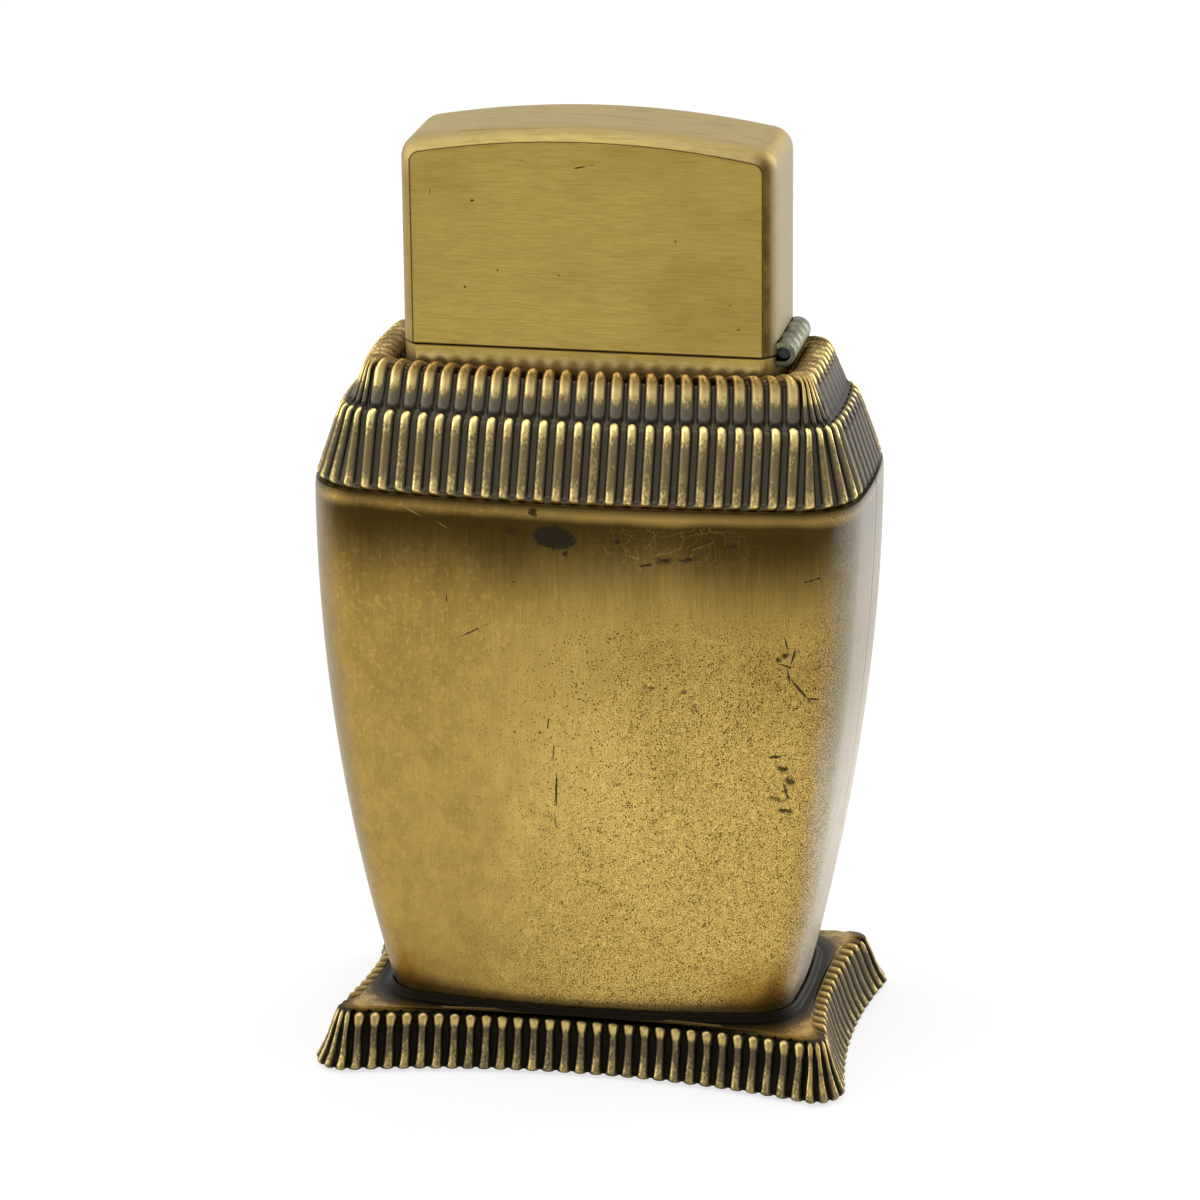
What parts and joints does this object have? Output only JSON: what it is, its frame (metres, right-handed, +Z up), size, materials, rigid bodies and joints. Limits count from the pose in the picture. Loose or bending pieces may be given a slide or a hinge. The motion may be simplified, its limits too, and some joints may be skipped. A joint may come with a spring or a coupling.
{
  "type": "table lighter",
  "caption": "Table lighter: a hinged pocket lighter that slips into a vase-shaped metal stand with a beaded collar and a ribbed foot.",
  "frame": {"origin": "centre of the foot's resting face, on the table", "axes": "+Z up, +X towards the lid's hinge, -Y towards the front"},
  "size_m": [0.0566, 0.0358, 0.0979],
  "materials": {
    "brushed_brass": "brushed satin with an aged patina",
    "antique_casting": "dark oxidised grooves and worn bright crests",
    "plain_brass": "turned",
    "zinc_steel": "plated",
    "nickel_sheet": "dull nickel",
    "stainless_sheet": "satin",
    "hardened_steel": "knurled",
    "flint_metal": "rough",
    "wick_cotton": "woven",
    "grey_felt": "felt",
    "green_felt": "felt"
  },
  "bodies": {
    "stand": {"foot": "antique_casting", "foot_felt": "green_felt", "body_front_shell": "brushed_brass", "body_back_shell": "brushed_brass", "collar": "antique_casting", "collar_plate": "zinc_steel", "plate_screws": "zinc_steel", "lighter_socket": "zinc_steel", "socket_bush": "zinc_steel", "tie_screw": "zinc_steel", "tie_washer": "zinc_steel"},
    "lighter": {"lower_case": "brushed_brass", "hinge_lower_leaf": "nickel_sheet", "hinge_pin": "nickel_sheet", "insert_tank": "stainless_sheet", "chimney": "stainless_sheet", "wick": "wick_cotton", "packing": "wick_cotton", "insert_felt": "grey_felt", "wheel_rivet": "stainless_sheet", "flint": "flint_metal", "flint_spring": "zinc_steel", "flint_tube": "plain_brass", "flint_screw": "plain_brass", "cam_rivet": "stainless_sheet", "cam_spring": "stainless_sheet"},
    "lid_body": {"lid": "brushed_brass", "hinge_upper_leaf": "nickel_sheet"},
    "cam_body": {"cam": "stainless_sheet"},
    "wheel_body": {"flint_wheel": "hardened_steel"}
  },
  "joints": [
    {"name": "lighter_lift", "type": "slide", "parent": "stand", "child": "lighter", "axis": [0, 0, 1], "range_m": [0, 0.036]},
    {"name": "lid_hinge", "type": "hinge", "parent": "lighter", "child": "lid_body", "pos_m": [0.0195, 0, 0.0754], "axis": [0, 1, 0], "range_deg": [0, 110]},
    {"name": "cam_pivot", "type": "hinge", "parent": "lighter", "child": "cam_body", "pos_m": [0.0132, 0, 0.07975], "axis": [0, 1, 0], "range_deg": [0, 33]},
    {"name": "wheel_spin", "type": "hinge", "parent": "lighter", "child": "wheel_body", "pos_m": [-0.0099, 0, 0.0842], "axis": [0, 1, 0], "continuous": true}
  ],
  "couplings": [
    {"joint": "cam_pivot", "follows": "lid_hinge", "ratio": 0.3}
  ]
}
